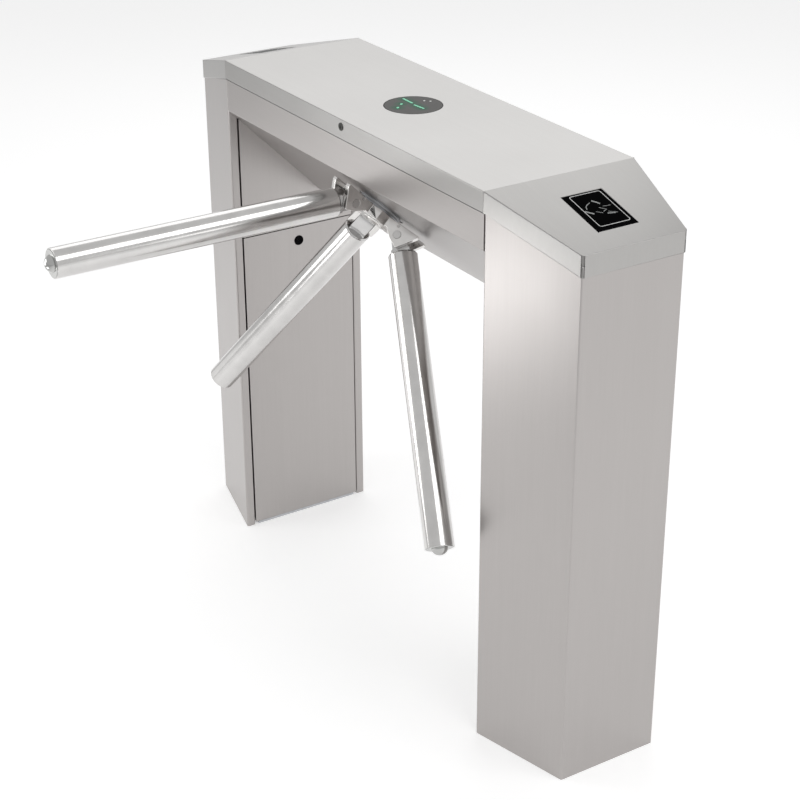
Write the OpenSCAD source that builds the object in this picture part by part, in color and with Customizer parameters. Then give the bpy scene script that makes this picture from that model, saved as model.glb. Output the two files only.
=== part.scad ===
// Tripod turnstile: a bridge housing of folded stainless sheet on two legs, with a
// three-armed hub that turns on a shaft square to the sloping face of the beam.
// Millimetres. +Z is up, +X runs along the length, and -Y is the side with the arms.
// The origin is on the floor, at the centre of the pattern of anchor holes.

/* [Housing] */
// Length of the body over the ends of the legs
body_l = 1200; // [1160:10:1300]
// Length of a leg along the body
leg_l = 185; // [175:5:200]
// Width of the body
body_w = 280; // [270:5:300]
// Height from the floor to the top of the cover
body_h = 980; // [950:5:1040]
// Width of the narrow end faces of the legs
end_w = 190; // [180:5:220]
// How far each end of the top slopes down
slope_drop = 50; // [40:5:60]
// Thickness of the stainless sheet
sheet = 1.5; // [1.2:0.1:2]
// Outer radius of a bend in the sheet
bend_r = 3; // [2.5:0.5:4]
// Height of the upright front of the beam, from the top
beam_front_h = 95; // [90:1:100]
// Depth of the beam, from the top to its flat bottom
beam_h = 285; // [275:5:295]
// Width of the folded rim along the top of the beam's back
rim_w = 12; // [9:1:14]

/* [Feet] */
// Thickness of the base plates
base_t = 5; // [4:0.5:8]
// Radius of an anchor hole
anchor_r = 7; // [5:0.5:8]
// Distance between the anchor holes across a leg
anchor_y = 120; // [100:5:130]
// Distance between the anchor holes along a leg
anchor_x = 100; // [90:1:104]
// Radius of the cable entry
entry_r = 25; // [15:1:28]

/* [Cover] */
// Height of the skirt round the cover
skirt_h = 35; // [30:1:40]
// Room between the skirt and the body
cover_gap = 0.5; // [0.4:0.1:1]
// Diameter of the round display in the flat top
display_d = 102; // [80:1:110]
// Length of a card reader window, down the slope
window_l = 96; // [70:1:100]
// Width of a card reader window
window_w = 75; // [60:1:85]
// Distance of the window's centre down the slope
window_at = 103; // [90:1:108]

/* [Doors] */
// Width of the strip beside the opening in the inner face of a leg
strip_w = 18.5; // [17:0.5:22]
// Distance from the flat bottom of the beam down to the top of a door
door_drop = 67; // [59:1:105]
// Gap round a door
door_gap = 1.8; // [1:0.1:2.5]
// Depth of the folded edge of a door
door_fold = 13.7; // [12:0.1:15]
// Width of the lip that a door closes on
stop_w = 8; // [6:1:10]

/* [Locks] */
// Diameter of the head of a door lock
door_lock_d = 20; // [18:1:22]
// Diameter of the head of the cover lock
cover_lock_d = 14; // [13:1:15]
// Distance of a door lock below the top of its door
door_lock_drop = 28; // [26:1:30]
// Length of a door lock's cam
door_cam_l = 42; // [38:1:46]
// Length of the cover lock's cam
cover_cam_l = 24; // [22:1:26]

/* [Hub] */
// Distance of the hub's axis down the sloping face
hub_drop = 105; // [102:1:108]
// Gap between the sloping face and the back of the hub
hub_lift = 8; // [7:0.5:9]
// Thickness of the hub's core
hub_t = 19; // [18:0.5:20]
// Width of a lobe over its two ears
lobe_w = 53; // [50:1:55]
// Thickness of an ear
ear_t = 10.5; // [9:0.5:11]
// Reach of an ear from the hub's axis
ear_reach = 98; // [96:1:101]
// Distance of an arm's pivot from the hub's axis
pivot_r = 65; // [64:0.5:66]
// Height of an arm's pivot over the sloping face
pivot_h = 26; // [25:0.5:27]
// Diameter of the pivot pins
pivot_d = 14; // [12:0.5:15]

/* [Arms] */
// Outer diameter of an arm
arm_d = 50; // [44:1:51]
// Wall of the arm tube
arm_wall = 2; // [1.2:0.1:3]
// Length of the arm tube
arm_l = 505; // [420:5:510]
// Distance from the pivot to the start of the tube
arm_start = 30; // [29:0.5:33]
// Diameter of the dome on the arm's end
dome_d = 30; // [26:1:34]
// Height of the dome
dome_h = 12; // [9:1:14]

/* [Mechanism] */
// Radius of the main shaft
shaft_r = 15; // [13:0.5:16]
// Outer radius of the bearings
bearing_r = 31; // [29:0.5:32]
// Width of a bearing
bearing_w = 16; // [13:1:18]
// Radius of the three-notch index disc
index_r = 45; // [43:0.5:46]
// Width of a notch in the index disc
notch_w = 24; // [20:1:26]
// Gear module
gear_m = 2; // [1.9:0.05:2.05]
// Teeth of the gear on the shaft
gear_n = 54; // [52:1:55]
// Teeth of the damper's pinion
pinion_n = 18; // [17:1:19]
// Width of the gear
gear_w = 10; // [8:1:11]
// Radius of the rotary damper
damper_r = 22; // [18:1:23]
// Stroke of a locking solenoid
stroke = 5.5; // [5.2:0.1:6]

/* [Hidden] */

$fn = 64;
// Overrun of a cut past the face that it goes through
cut = 1;
// Gap where one piece seats on another
seat = 0.3;
// Running clearance on a radius
run = 0.05;
// Radius of the small screws and studs, and the size of their heads and nuts
screw_r = 4;
screw_head_r = 6.5;
screw_head_h = 6;

// Finishes
steel = "#c9c8c6";
chrome = "#dcdcdc";
iron = "#8d9196";
alloy = "#b9bcc0";
black = "#141414";
pale = "#d8d8d4";

// Lines of the body
leg_x = body_l / 2 - leg_l;
wall_y = body_w / 2;
taper = atan((wall_y - end_w / 2) / leg_l);
slope_angle = atan(slope_drop / leg_l);
bend_z = body_h - beam_front_h;
beam_z = body_h - beam_h;
slope_end_y = bend_z - beam_z - wall_y;
body_top = body_h - sheet - seat;
back_y = wall_y - sheet;
lap = cover_gap + sheet;
cover_y = wall_y + lap;

// Foot of the hub's axis on the sloping face
hub_y = hub_drop * cos(45) - wall_y;
hub_z = bend_z - hub_drop * sin(45);

// Height of the top at a distance x from the middle
function top_z(x) = body_h - slope_drop * max(0, x - leg_x) / leg_l;

// Plan of the body, set in by d, or set out where d is negative
function side_corner(d) = [leg_x - d * tan(taper / 2), wall_y - d];
function end_corner(d) = [body_l / 2 - d, end_w / 2 + d * tan(taper) - d / cos(taper)];
function plan(d) = let (a = side_corner(d), b = end_corner(d))
  [a, b, [b[0], -b[1]], [a[0], -a[1]], -a, -b, [-b[0], b[1]], [-a[0], a[1]]];

// The corner q of a path from p to s, rounded with the radius r
function unit(v) = v / norm(v);
function turned(v, angle) = [v[0] * cos(angle) - v[1] * sin(angle), v[0] * sin(angle) + v[1] * cos(angle)];
function side_of(u, v) = sign(u[0] * v[1] - u[1] * v[0]);
function corner(p, q, s, r) = let (u = unit(p - q), v = unit(s - q), half = acos(u * v) / 2,
  centre = q + unit(u + v) * r / sin(half), start = q + u * r / tan(half) - centre, steps = 4)
  [for (i = [0 : steps]) centre + turned(start, side_of(v, u) * (180 - 2 * half) * i / steps)];
function bent(pts, r) = let (last = len(pts) - 1)
  [pts[0], for (i = [1 : last - 1]) each corner(pts[i - 1], pts[i], pts[i + 1], r), pts[last]];
function rounded(pts, r) = let (n = len(pts))
  [for (i = [0 : n - 1]) each corner(pts[(i + n - 1) % n], pts[i], pts[(i + 1) % n], r)];

// A folded strip of sheet: a path and its thickness to the left, or to the right where it is negative
function left_of(a, b) = [a[1] - b[1], b[0] - a[0]] / norm(b - a);
function mitre(p, m, n, t) = p + t * (m + n) / (1 + m * n);
function inner_side(pts, t) = let (last = len(pts) - 1) [for (i = [0 : last])
  mitre(pts[i], left_of(pts[max(i - 1, 0)], pts[max(i, 1)]),
    left_of(pts[min(i, last - 1)], pts[min(i + 1, last)]), t)];
function reversed(pts) = [for (i = [len(pts) - 1 : -1 : 0]) pts[i]];
function folded(pts, t) = concat(pts, reversed(inner_side(pts, t)));

// Prism of an outline in X and Z, centred on Y
module along_y(w) rotate([90, 0, 0]) linear_extrude(w, center = true) children();

// Prism of an outline in Y and Z, running in +X from the plane X = 0
module along_x(l) rotate([90, 0, 90]) linear_extrude(l) children();

// Cutter of a round hole through a thickness h
module bore(h, r) translate([0, 0, -cut]) cylinder(h = h + 2 * cut, r = r);

// Hexagon nut or head
module hexagon(h, r) cylinder(h = h, r = r, $fn = 6);

module mirrored(side) {
  if (side > 0) children();
  else mirror([1, 0, 0]) children();
}

// Everything between two depths below the top
module top_band(high, low) {
  corners = [-body_l, -leg_x, leg_x, body_l];
  upper = [for (x = corners) [x, top_z(abs(x)) - high]];
  lower = [for (x = corners) [x, top_z(abs(x)) - low]];
  along_y(2 * body_w) polygon(concat(upper, reversed(lower)));
}

// Legs: one folded sheet each, with a recess for the door in the inner face

half_opening = wall_y - strip_w;
rim_depth = door_fold + seat;
stop_x = leg_x + rim_depth;

module leg_shell(side) {
  half = [side_corner(0), [leg_x, half_opening], [stop_x, half_opening], [stop_x, half_opening - stop_w]];
  opposite = [for (p = reversed(half)) [p[0], -p[1]]];
  ends = [[body_l / 2, -end_w / 2], [body_l / 2, end_w / 2]];
  color(steel) mirrored(side) intersection() {
    linear_extrude(body_h) polygon(folded(bent(concat(opposite, ends, half), bend_r), sheet));
    top_band(sheet + seat, body_h + cut);
  }
}
module leg_shell_near() leg_shell(1);
module leg_shell_far() leg_shell(-1);

// Base plates, inside the feet of the legs, with a slot for each tongue of the door

inset = sheet + seat;
sill_y = half_opening - stop_w - seat;
foot_x = leg_x + leg_l / 2;
entry_wall = 5;
entry_hole_r = entry_r + entry_wall;
tongue_w = 20;
tongue_y = 75;
tongue_depth = base_t - cut;
tongue_step = 4;
tongue_x = leg_x + tongue_step;
slot_room = 0.5;
slot_l = sheet + 5 * slot_room;

module base_plate() {
  step_x = stop_x + inset;
  step_y = wall_y - inset / cos(taper) - (step_x - leg_x) * tan(taper);
  half = [[leg_x, sill_y], [step_x, sill_y], [step_x, step_y], end_corner(inset)];
  opposite = [for (p = reversed(half)) [p[0], -p[1]]];
  difference() {
    linear_extrude(base_t) polygon(rounded(concat(half, opposite), 2 * seat));
    for (x = [-1, 1] * anchor_x / 2, y = [-1, 1] * anchor_y / 2)
      translate([foot_x + x, y, 0]) bore(base_t, anchor_r);
    translate([foot_x, 0, 0]) bore(base_t, entry_hole_r);
    for (y = [-1, 1] * tongue_y) translate([tongue_x - slot_room, y - tongue_w / 2 - slot_room, -cut])
      cube([slot_l, tongue_w + 2 * slot_room, base_t + 2 * cut]);
  }
}

module base_plates() color(alloy) {
  base_plate();
  mirror([1, 0, 0]) base_plate();
}

module cable_grommets() {
  lip = 4;
  lip_t = 3;
  bead_t = 2;
  lip_top = base_t + lip_t;
  bead_top = lip_top + bead_t;
  groove_r = entry_hole_r - seat;
  outer_r = entry_hole_r + lip;
  color(black) for (side = [-1, 1]) translate([side * foot_x, 0, 0]) rotate_extrude()
    polygon([[entry_r, cut], [groove_r, cut], [groove_r, base_t], [outer_r, base_t],
      [outer_r, lip_top], [entry_hole_r, bead_top], [entry_r, bead_top]]);
}

// Beam: front, sloping face, flat bottom and back in one folded sheet. The front ends under
// the skirt, below the cover lock.

tube_wall = 9;
tube_r = bearing_r + tube_wall;
hub_hole_room = 6;
hub_hole_r = tube_r + hub_hole_room;
front_lap = 8;
front_top = body_h - skirt_h + front_lap;

module hub_frame() translate([0, hub_y, hub_z]) rotate([135, 0, 0]) children();

module beam_shell() {
  path = [[-wall_y, front_top], [-wall_y, bend_z], [slope_end_y, beam_z], [wall_y, beam_z],
    [wall_y, body_top], [wall_y - rim_w, body_top]];
  color(steel) difference() {
    translate([-leg_x, 0, 0]) along_x(2 * leg_x) polygon(folded(bent(path, bend_r), sheet));
    hub_frame() translate([0, 0, -sheet]) bore(sheet, hub_hole_r);
  }
}

// Doors and upper panels: trays of sheet in the openings of the legs

door_w = 2 * (half_opening - door_gap);
door_low = base_t + seat;
door_top = beam_z - door_drop;
fold_from = 24;
door_lock_z = door_top - door_lock_drop;
lock_hole_share = 0.85;

// A tray between two heights, closed at the top, with side folds from the height fold_up over its foot
module leg_tray(low, fold_up, high, depth) translate([leg_x, -door_w / 2, low]) difference() {
  cube([depth, door_w, high - low]);
  translate([sheet, sheet, -cut]) cube([depth, door_w - 2 * sheet, high - low - sheet + cut]);
  translate([sheet, -cut, -cut]) cube([depth, door_w + 2 * cut, fold_up + cut]);
}

module upper_panel(side) {
  low = door_top + door_gap;
  line_y = wall_y - sheet;
  color(steel) mirrored(side) intersection() {
    translate([0, 0, low + bend_z]) mirror([0, 0, 1]) leg_tray(low, 0, bend_z, door_fold);
    translate([leg_x, 0, 0]) along_x(rim_depth)
      polygon([[-line_y, low], [line_y, low], [line_y, beam_z + sheet],
        [slope_end_y + sheet, beam_z + sheet], [-line_y, bend_z]]);
  }
}
module upper_panel_near() upper_panel(1);
module upper_panel_far() upper_panel(-1);

// A door stands on the edge of the base plate, and its two tongues reach into the slots
module door(side) {
  root_h = 10;
  bend_low = base_t + sheet;
  bend_high = door_low + root_h;
  root_x = leg_x + sheet / 2;
  color(steel) mirrored(side) {
    difference() {
      leg_tray(door_low, fold_from, door_top, door_fold);
      translate([leg_x, 0, door_lock_z]) rotate([0, 90, 0]) bore(sheet, door_lock_d / 2 * lock_hole_share);
    }
    for (y = [-1, 1] * tongue_y) translate([0, y, 0]) along_y(tongue_w)
      polygon([[root_x, bend_high], [root_x, bend_low], [tongue_x, bend_low],
        [tongue_x, base_t - tongue_depth], [tongue_x + sheet, base_t - tongue_depth],
        [tongue_x + sheet, bend_low + sheet], [leg_x + 2 * sheet, bend_low + sheet],
        [leg_x + 2 * sheet, bend_high]]);
  }
}
module door_near() door(1);
module door_far() door(-1);

// Cam locks: a threaded body with a nut, and a plug that carries the cam. The head's back is
// at the plane Z = 0 of their frame, with +Z out of the panel.

plug_share = 0.5;
head_t = 1.2;
head_bevel = 0.5;
lock_nut_t = 4;
lock_nut_rim = 2.5;
cam_w = 9;
cam_t = 2;
cam_room = 3;
door_reach = rim_depth + cut;
cover_reach = 16;
cover_lock_drop = 13;
cover_lock_z = body_h - cover_lock_drop;

module lock_body(head_d, reach, panel) {
  head_r = head_d / 2;
  color(black) difference() {
    union() {
      cylinder(h = head_t, r1 = head_r, r2 = head_r - head_bevel);
      translate([0, 0, -reach]) cylinder(h = reach, r = head_r * lock_hole_share - seat);
      translate([0, 0, -panel - lock_nut_t]) hexagon(lock_nut_t - seat, head_r + lock_nut_rim);
    }
    translate([0, 0, -reach]) bore(reach + head_t, head_r * plug_share + run);
  }
}

module lock_cam(head_d, reach, cam_l) {
  plug_r = head_d / 2 * plug_share;
  key_w = 1.2;
  key_depth = 2.5;
  eye_rim = 1.5;
  eye_r = cam_w / 2 + eye_rim;
  plug_low = -reach - seat;
  plug_top = head_t - cam_t / 5;
  color(iron) {
    difference() {
      translate([0, 0, plug_low]) cylinder(h = plug_top - plug_low, r = plug_r);
      translate([-plug_r * lock_hole_share, -key_w / 2, plug_top - key_depth])
        cube([2 * plug_r * lock_hole_share, key_w, key_depth + cut]);
    }
    translate([0, 0, plug_low - cam_t]) {
      cylinder(h = cam_t, r = eye_r);
      translate([0, -cam_w / 2, 0]) cube([cam_l - cam_w / 2, cam_w, cam_t]);
      translate([cam_l - cam_w / 2, 0, 0]) cylinder(h = cam_t, r = cam_w / 2);
    }
    translate([0, 0, plug_low - cam_t - lock_nut_t]) hexagon(lock_nut_t, cam_w / 2);
  }
}

module door_lock_frame(side) mirrored(side) translate([leg_x, 0, door_lock_z]) rotate([0, -90, 0]) children();
module cover_lock_frame() translate([0, -cover_y, cover_lock_z]) rotate([90, 0, 0]) children();

module door_lock_near() door_lock_frame(1) lock_body(door_lock_d, door_reach, sheet);
module door_lock_far() door_lock_frame(-1) lock_body(door_lock_d, door_reach, sheet);
module door_cam_near() door_lock_frame(1) rotate([0, 0, 90]) lock_cam(door_lock_d, door_reach, door_cam_l);
module door_cam_far() door_lock_frame(-1) rotate([0, 0, 90]) lock_cam(door_lock_d, door_reach, door_cam_l);
module cover_lock() cover_lock_frame() lock_body(cover_lock_d, cover_reach, sheet);
module cover_lock_cam() cover_lock_frame() rotate([0, 0, -90]) lock_cam(cover_lock_d, cover_reach, cover_cam_l);

// Keeper: an angle inside the front of the beam, over the cover lock's cam when it is turned
module cover_keeper() {
  keeper_w = 14;
  foot_h = 30;
  tab_z = cover_lock_z + cam_w / 2 + cam_room;
  tab_y = cover_reach + cam_t + lock_nut_t - cover_y;
  path = [[sheet - wall_y, front_top - foot_h], [sheet - wall_y, tab_z], [tab_y, tab_z]];
  color(steel) translate([cover_cam_l / 2 + sheet, 0, 0]) along_x(keeper_w)
    polygon(folded(bent(path, 2 * sheet), -sheet));
}

// Cover: flat top, two sloping ends and a skirt all round

module slope_frame(side) mirrored(side) translate([leg_x, 0, body_h]) rotate([0, slope_angle, 0]) children();
module window_frame(side) slope_frame(side) translate([window_at, 0, 0]) children();

module top_cover() color(steel) difference() {
  intersection() {
    linear_extrude(body_h + cut) polygon(rounded(plan(-lap), bend_r + lap));
    top_band(0, skirt_h);
  }
  intersection() {
    linear_extrude(body_h) polygon(rounded(plan(-cover_gap), bend_r + cover_gap));
    top_band(sheet, skirt_h + cut);
  }
  translate([0, 0, body_h - sheet]) bore(sheet, display_d / 2);
  for (side = [-1, 1]) window_frame(side) cube([window_l, window_w, 4 * sheet], center = true);
  cover_lock_frame() translate([0, 0, -sheet]) bore(sheet, cover_lock_d / 2 * lock_hole_share);
}

// Display: a smoked lens flush in the top, in a cup that carries the lamp board

lens_t = 3;
lens_r = display_d / 2 - seat;
cup_h = 14;
cup_floor = 3;
cup_ledge = 5;
cup_z = body_h - sheet - cup_h;
board_t = 1.6;

module display_lens() color("#3c3a3a") translate([0, 0, body_h - lens_t]) cylinder(h = lens_t, r = lens_r);

module display_housing() color(black) translate([0, 0, cup_z]) difference() {
  cylinder(h = cup_h, r = lens_r + cup_ledge);
  translate([0, 0, cup_floor]) cylinder(h = cup_h, r = lens_r - cup_ledge);
  translate([0, 0, body_h - lens_t - cup_z]) cylinder(h = lens_t, r = lens_r + seat / 2);
}

module display_board() {
  lamp_w = 48;
  lamp_h = 5;
  color("#1e3a2a") translate([0, 0, cup_z + cup_floor]) {
    cylinder(h = board_t, r = lens_r - cup_ledge - seat);
    translate([-lamp_w / 2, -lamp_w / 2, board_t]) cube([lamp_w, lamp_w, lamp_h]);
  }
}

// Card readers: a black glass window flush in each slope, with the reader behind it

glass_t = 3;
reader_h = 16;
reader_lip = 6;

module reader_window(side) color(black) window_frame(side) translate([0, 0, -glass_t / 2])
  cube([window_l - 2 * seat, window_w - 2 * seat, glass_t], center = true);
module reader_window_near() reader_window(1);
module reader_window_far() reader_window(-1);

module reader_module(side) color("#2b2d30") window_frame(side) difference() {
  translate([0, 0, -sheet - reader_h / 2])
    cube([window_l + 2 * reader_lip, window_w + 2 * reader_lip, reader_h], center = true);
  translate([0, 0, -glass_t / 2]) cube([window_l, window_w, glass_t], center = true);
}
module reader_module_near() reader_module(1);
module reader_module_far() reader_module(-1);

// Hub: a cast block with three forked lobes. A lobe's frame has X out from the hub's axis,
// Z square to the sloping face, and the arm in the plane Y = 0.

fork_w = lobe_w - 2 * ear_t;
tang_wall = 6.5;
tang_r = pivot_d / 2 + tang_wall;
fork_room = 1;
fork_r = tang_r + fork_room;
core_step = 2;
core_w = lobe_w - core_step;
hub_front = hub_lift + hub_t;
latch_r = 2.3;
bolt_circle = 29;
bolt_head_r = 6.5;
bolt_head_h = 8;
bolt_sink = 1.5;
bolt_seat = hub_front - bolt_head_h - bolt_sink;
cap_depth = 4;
flange_rim = 9;
flange_r = bolt_circle + flange_rim;
flange_room = 3.5;
flange_t = hub_lift - flange_room;

module lobe(k) rotate([0, 0, 90 + 120 * k]) children();
module pivot(k) lobe(k) translate([pivot_r, 0, pivot_h]) children();
module latch(k) pivot(k) translate([-3 * latch_r, 0, -6 * latch_r]) children();
module bolt_place(k) lobe(k) rotate([0, 0, 60]) translate([bolt_circle, 0, 0]) children();
module arm_frame(k) hub_frame() pivot(k) rotate([0, -45, 0]) children();
module cross_pin(l, r) rotate([90, 0, 0]) cylinder(h = l, r = r, center = true);

// Outline of an ear: its crown over the pivot is given as shares of its reach beyond the pivot
crown_shares = [[0.37, 0.54], [0.33, 0.58], [0.27, 0.58], [-0.24, 0.36]];
toe_h = 5;
lobe_from = 30;
lobe_sink = 2;
ear_outline = concat([[lobe_from, hub_lift + seat], [ear_reach, hub_lift + seat], [ear_reach, hub_lift + toe_h]],
  [for (s = crown_shares) [pivot_r, pivot_h] + s * (ear_reach - pivot_r)],
  [[lobe_w * cos(30) - toe_h, hub_front - lobe_sink], [lobe_from, hub_front - lobe_sink]]);

// The space that an arm's root swings through, from its place at rest to the folded one
module fork_space() {
  half = fork_r * sin(45);
  low = pivot_h - half;
  high = pivot_h + ear_reach;
  along_y(fork_w) polygon([[pivot_r - half, low], [pivot_r + half, low], [pivot_r + half, 0],
    [2 * ear_reach, 0], [2 * ear_reach, high], [pivot_r - half - high + low, high]]);
  translate([pivot_r, 0, pivot_h]) cross_pin(fork_w, fork_r);
}

module tripod_hub() color(chrome) hub_frame() difference() {
  union() {
    translate([0, 0, hub_lift]) rotate([0, 0, 30]) hexagon(hub_t, core_w);
    for (k = [0 : 2]) lobe(k) along_y(lobe_w) polygon(ear_outline);
  }
  for (k = [0 : 2]) {
    lobe(k) fork_space();
    pivot(k) cross_pin(lobe_w + cut, pivot_d / 2);
    latch(k) cross_pin(lobe_w + cut, latch_r);
    bolt_place(k) translate([0, 0, hub_lift]) bore(hub_t, screw_r + seat);
    bolt_place(k) translate([0, 0, bolt_seat]) cylinder(h = hub_t, r = bolt_head_r + seat);
  }
  translate([0, 0, hub_lift]) bore(hub_t, shaft_r + run);
}

module hub_bolts() {
  key_r = 3.5;
  key_depth = 4;
  color(iron) hub_frame() for (k = [0 : 2]) bolt_place(k) {
    translate([0, 0, bolt_seat]) difference() {
      cylinder(h = bolt_head_h, r = bolt_head_r);
      translate([0, 0, bolt_head_h - key_depth]) hexagon(key_depth + cut, key_r);
    }
    translate([0, 0, hub_lift - flange_t]) cylinder(h = bolt_seat - hub_lift + flange_t, r = screw_r);
  }
}

module hub_cap() {
  rim = 2;
  crown = 3;
  top = cap_depth + crown;
  edge = cap_depth + rim / 2;
  color(chrome) hub_frame() translate([0, 0, hub_front - cap_depth]) rotate_extrude()
    polygon([[0, seat], [shaft_r - seat, seat], [shaft_r - seat, cap_depth], [shaft_r + rim, cap_depth],
      [shaft_r + rim / 2, edge], [shaft_r / 2, top], [0, top]]);
}

// Pivot pins, and beside each the latch pin, whose ends show in the two ears
module arm_pins() color(iron) hub_frame() for (k = [0 : 2]) {
  pivot(k) cross_pin(lobe_w + 2 * seat, pivot_d / 2 - run);
  for (side = [-1, 1]) latch(k) translate([0, side * (lobe_w - ear_t) / 2, 0])
    cross_pin(ear_t - seat, latch_r - run);
}

// Arms: a root with a tang between the ears, a tube and a plug with a dome

spigot_l = 36;
plug_r = arm_d / 2 - arm_wall - run;

module arm_root(k) {
  disc_t = 3;
  disc_bevel = 2;
  neck = 2.5;
  neck_l = 10;
  shoulder_x = arm_start - neck_l;
  neck_r = tang_r + neck;
  color(chrome) arm_frame(k) difference() {
    union() {
      cross_pin(fork_w - fork_room, tang_r);
      along_y(fork_w - fork_room) polygon([[0, -tang_r], [shoulder_x, -tang_r], [shoulder_x + neck, -neck_r],
        [arm_start, -neck_r], [arm_start, neck_r], [shoulder_x + neck, neck_r], [shoulder_x, tang_r], [0, tang_r]]);
      translate([arm_start - disc_t, 0, 0]) rotate([0, 90, 0])
        cylinder(h = disc_t - seat, r1 = arm_d / 2 - disc_bevel, r2 = arm_d / 2);
      translate([arm_start - disc_t, 0, 0]) rotate([0, 90, 0]) cylinder(h = spigot_l, r = plug_r);
    }
    cross_pin(lobe_w, pivot_d / 2);
  }
}

module arm_tube(k) color(chrome) arm_frame(k) translate([arm_start, 0, 0]) rotate([0, 90, 0]) difference() {
  cylinder(h = arm_l, r = arm_d / 2);
  bore(arm_l, arm_d / 2 - arm_wall);
}

module arm_cap(k) {
  depth = 20;
  face = 1.2;
  rim_r = arm_d / 2 - face;
  ball_r = (pow(dome_d / 2, 2) + pow(dome_h, 2)) / (2 * dome_h);
  color(chrome) arm_frame(k) translate([arm_start + arm_l, 0, 0]) rotate([0, 90, 0]) {
    translate([0, 0, -depth]) cylinder(h = depth, r = plug_r);
    cylinder(h = face, r1 = rim_r, r2 = rim_r - face);
    intersection() {
      translate([0, 0, dome_h - ball_r]) sphere(r = ball_r);
      cylinder(h = dome_h, r = dome_d / 2);
    }
  }
}

module arm_root_a() arm_root(0);
module arm_root_b() arm_root(1);
module arm_root_c() arm_root(2);
module arm_tube_a() arm_tube(0);
module arm_tube_b() arm_tube(1);
module arm_tube_c() arm_tube(2);
module arm_cap_a() arm_cap(0);
module arm_cap_b() arm_cap(1);
module arm_cap_c() arm_cap(2);

// Mechanism, in the frame of the hub: -Z runs up and back into the beam

plate_t = 10;
plate_back = -sheet - plate_t;
plate_x = 100;
plate_low = -100;
plate_high = 84;
stud_inset = 12;
stud_y = [plate_low + stud_inset, plate_high - stud_inset];
stud_end = 12;
stud_l = plate_t + stud_end;

module stud_frames() hub_frame() for (x = [-1, 1] * (plate_x - stud_inset), y = stud_y)
  translate([x, y, -sheet - stud_l]) children();

module mechanism_plate() color(alloy) difference() {
  hub_frame() translate([-plate_x, plate_low, plate_back]) cube([2 * plate_x, plate_high - plate_low, plate_t]);
  hub_frame() translate([0, 0, plate_back]) bore(plate_t, tube_r + run);
  stud_frames() bore(stud_l, screw_r + seat);
}

// Welded studs with their nuts
module mounting_nuts() {
  nut_h = 7;
  color(iron) stud_frames() {
    cylinder(h = stud_l, r = screw_r);
    translate([0, 0, stud_l - plate_t - nut_h]) hexagon(nut_h, screw_head_r);
  }
}

// Bearing housing: a tube with a round flange in front and a plate behind, with four ribs
nose_z = 3;
collar_t = 8;
collar_back = plate_back - collar_t;
collar_rim = 26;
collar_r = tube_r + collar_rim;
collar_bolt_r = tube_r + collar_rim / 2;
rear_gap = 50;
rear_t = 8;
rear_z = collar_back - rear_gap;
rear_face = rear_z - rear_t;
damper_x = gear_m * (gear_n + pinion_n) / 2;
pin_r = 5;

// Places of the locking pawls: pivots beside the index disc, one above and one below
pawl_l = 30;
pawl_t = 8;
pawl_out = 17;
pawl_x = index_r + pawl_out;
pawl_back = 4;
pawl_y = pawl_l + pawl_back;
pawl_room = 9;
pawl_z = rear_face - pawl_room - pawl_t;
tail_l = 26;
coil_w = 26;
coil_l = 34;
coil_y = 18;
rear_border = 6;
rear_low_x = -pawl_x - tail_l - coil_w;
rear_high_x = damper_x + damper_r + rear_border;
rear_y = pawl_y + coil_y + coil_l + rear_border;

module collar_bolt_frames() hub_frame() for (a = [45 : 90 : 315]) rotate([0, 0, a])
  translate([collar_bolt_r, 0, collar_back]) children();
module pawl_frame(s) hub_frame() mirror([0, s < 0 ? 1 : 0, 0]) translate([-pawl_x, pawl_y, pawl_z]) children();

module bearing_housing() {
  rib_t = 6;
  rib_h = 20;
  bearing_step = 4;
  color(alloy) difference() {
    hub_frame() {
      translate([0, 0, collar_back]) cylinder(h = collar_t, r = collar_r);
      translate([0, 0, rear_face]) cylinder(h = nose_z - rear_face, r = tube_r);
      translate([rear_low_x, -rear_y, rear_face]) cube([rear_high_x - rear_low_x, 2 * rear_y, rear_t]);
      for (a = [0 : 90 : 270]) rotate([0, 0, a]) translate([tube_r - tube_wall / 2, -rib_t / 2, rear_z])
        cube([rib_h, rib_t, rear_gap]);
    }
    hub_frame() translate([0, 0, rear_face]) bore(nose_z - rear_face, bearing_r - bearing_step);
    hub_frame() translate([0, 0, rear_face - cut]) cylinder(h = bearing_w + cut, r = bearing_r + run);
    hub_frame() translate([0, 0, nose_z - bearing_w]) cylinder(h = bearing_w + cut, r = bearing_r + run);
    collar_bolt_frames() bore(collar_t, screw_r + seat);
    for (s = [-1, 1]) pawl_frame(s) translate([0, 0, rear_face - pawl_z]) bore(rear_t, pin_r);
  }
}

module housing_bolts() color(iron) collar_bolt_frames() {
  cylinder(h = collar_t, r = screw_r);
  translate([0, 0, -screw_head_h]) hexagon(screw_head_h, screw_head_r);
}

// Sealed ball bearings: two rings with a recessed shield between them
module shaft_bearings() {
  ring = 5;
  dip = 1;
  inner = [shaft_r + run, shaft_r + ring, shaft_r + ring + dip];
  outer = [bearing_r - ring - dip, bearing_r - ring, bearing_r];
  front = [[inner[0], 0], [inner[1], 0], [inner[2], dip], [outer[0], dip], [outer[1], 0], [outer[2], 0]];
  back = [for (p = reversed(front)) [p[0], bearing_w - p[1]]];
  color(iron) hub_frame() for (z = [rear_face, nose_z - bearing_w]) translate([0, 0, z])
    rotate_extrude() polygon(concat(front, back));
}

// Pieces on the main shaft, from the hub back to the nut

spacer_wall = 6;
spacer_r = shaft_r + spacer_wall;
spacer_l = 8;
index_z = pawl_z;
gear_z = index_z - spacer_l - gear_w;
vane_t = 2;
vane_r = index_r - vane_t / 2;
vane_z = gear_z - spacer_l - vane_t;
shaft_nut_t = 8;
shaft_nut_rim = 10;
shaft_nut_r = shaft_r + shaft_nut_rim;
shaft_tail = 6;
shaft_end = vane_z - shaft_nut_t - shaft_tail;

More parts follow.
